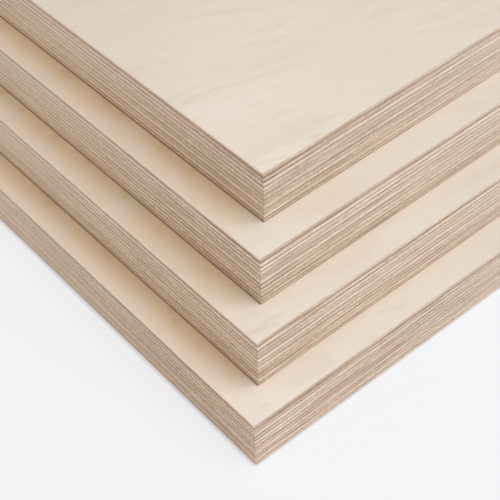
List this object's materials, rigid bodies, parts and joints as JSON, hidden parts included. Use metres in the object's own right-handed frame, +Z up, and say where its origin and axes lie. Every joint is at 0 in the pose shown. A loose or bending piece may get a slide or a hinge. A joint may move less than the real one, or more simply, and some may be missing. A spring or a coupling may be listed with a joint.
{
  "type": "stack of plywood sheets",
  "caption": "Stack of birch plywood sheets fanned at one corner, with the cross-laid veneers showing along every sawn edge.",
  "frame": {"origin": "middle of the bottom sheet's underside, on the floor", "axes": "+Z up, +X along the sheets' length and the grain of their faces, +Y across the sheets. The fanned front corner is at -X and -Y."},
  "size_m": [0.6254, 0.334, 0.06],
  "materials": {
    "face_veneer": "sanded, unfinished birch face",
    "long_core_veneer": "sawn edge, unfinished",
    "cross_core_veneer": "sawn edge, unfinished"
  },
  "bodies": {
    "root": {"sheet_1_ply_01_back": "face_veneer", "sheet_1_ply_02_cross": "cross_core_veneer", "sheet_1_ply_03_long": "long_core_veneer", "sheet_1_ply_04_cross": "cross_core_veneer", "sheet_1_ply_05_long": "long_core_veneer", "sheet_1_ply_06_cross": "cross_core_veneer", "sheet_1_ply_07_long": "long_core_veneer", "sheet_1_ply_08_cross": "cross_core_veneer", "sheet_1_ply_09_long": "long_core_veneer", "sheet_1_ply_10_cross": "cross_core_veneer", "sheet_1_ply_11_face": "face_veneer", "sheet_2_ply_01_back": "face_veneer", "sheet_2_ply_02_cross": "cross_core_veneer", "sheet_2_ply_03_long": "long_core_veneer", "sheet_2_ply_04_cross": "cross_core_veneer", "sheet_2_ply_05_long": "long_core_veneer", "sheet_2_ply_06_cross": "cross_core_veneer", "sheet_2_ply_07_long": "long_core_veneer", "sheet_2_ply_08_cross": "cross_core_veneer", "sheet_2_ply_09_long": "long_core_veneer", "sheet_2_ply_10_cross": "cross_core_veneer", "sheet_2_ply_11_face": "face_veneer", "sheet_3_ply_01_back": "face_veneer", "sheet_3_ply_02_cross": "cross_core_veneer", "sheet_3_ply_03_long": "long_core_veneer", "sheet_3_ply_04_cross": "cross_core_veneer", "sheet_3_ply_05_long": "long_core_veneer", "sheet_3_ply_06_cross": "cross_core_veneer", "sheet_3_ply_07_long": "long_core_veneer", "sheet_3_ply_08_cross": "cross_core_veneer", "sheet_3_ply_09_long": "long_core_veneer", "sheet_3_ply_10_cross": "cross_core_veneer", "sheet_3_ply_11_face": "face_veneer", "sheet_4_ply_01_back": "face_veneer", "sheet_4_ply_02_cross": "cross_core_veneer", "sheet_4_ply_03_long": "long_core_veneer", "sheet_4_ply_04_cross": "cross_core_veneer", "sheet_4_ply_05_long": "long_core_veneer", "sheet_4_ply_06_cross": "cross_core_veneer", "sheet_4_ply_07_long": "long_core_veneer", "sheet_4_ply_08_cross": "cross_core_veneer", "sheet_4_ply_09_long": "long_core_veneer", "sheet_4_ply_10_cross": "cross_core_veneer", "sheet_4_ply_11_face": "face_veneer"}
  },
  "joints": []
}
